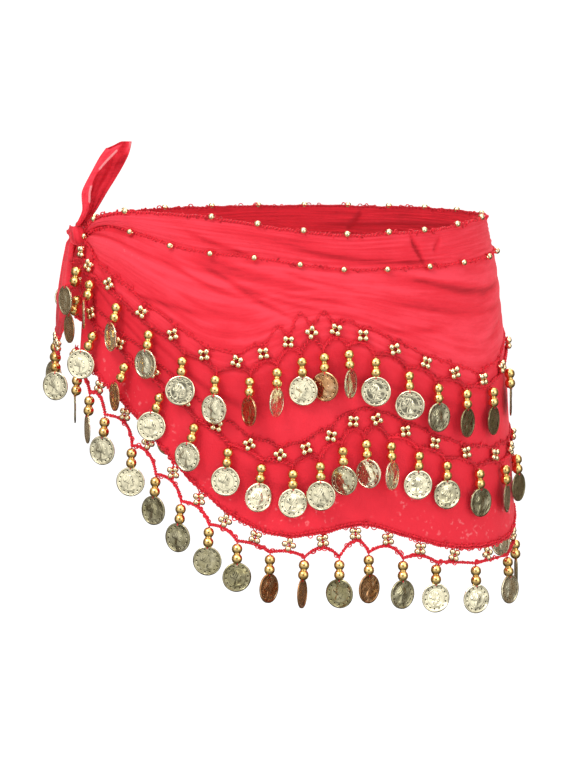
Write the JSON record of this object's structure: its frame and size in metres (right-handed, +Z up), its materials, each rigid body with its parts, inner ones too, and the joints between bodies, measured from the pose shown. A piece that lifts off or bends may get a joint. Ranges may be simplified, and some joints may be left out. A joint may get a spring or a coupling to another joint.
{
  "type": "dance scarf",
  "caption": "Chiffon belly-dance hip scarf tied in a knot on the right hip, with scalloped crocheted rows of beaded coin drops, held in its hollow worn shape.",
  "frame": {"origin": "middle of the waist opening, at the height of its mean top edge", "axes": "+X to the wearer's left, -Y to the front, +Z up"},
  "size_m": [0.3622, 0.2725, 0.3473],
  "materials": {
    "chiffon": "matt, slightly see-through coral red chiffon",
    "crochet_thread": "matt dark red crochet cotton",
    "bead_gold": "polished gold-coloured beads",
    "coin_gold": "polished pale gold stamped coins"
  },
  "bodies": {
    "root": {"front_wrap": "chiffon", "back_wrap": "chiffon", "hanging_end": "chiffon", "standing_end": "chiffon", "knot": "chiffon", "front_upper_row": "coin_gold", "front_lower_row": "coin_gold", "front_hem_row": "coin_gold", "back_upper_row": "coin_gold", "back_lower_row": "coin_gold", "back_hem_row": "coin_gold", "end_row": "coin_gold"}
  },
  "joints": []
}
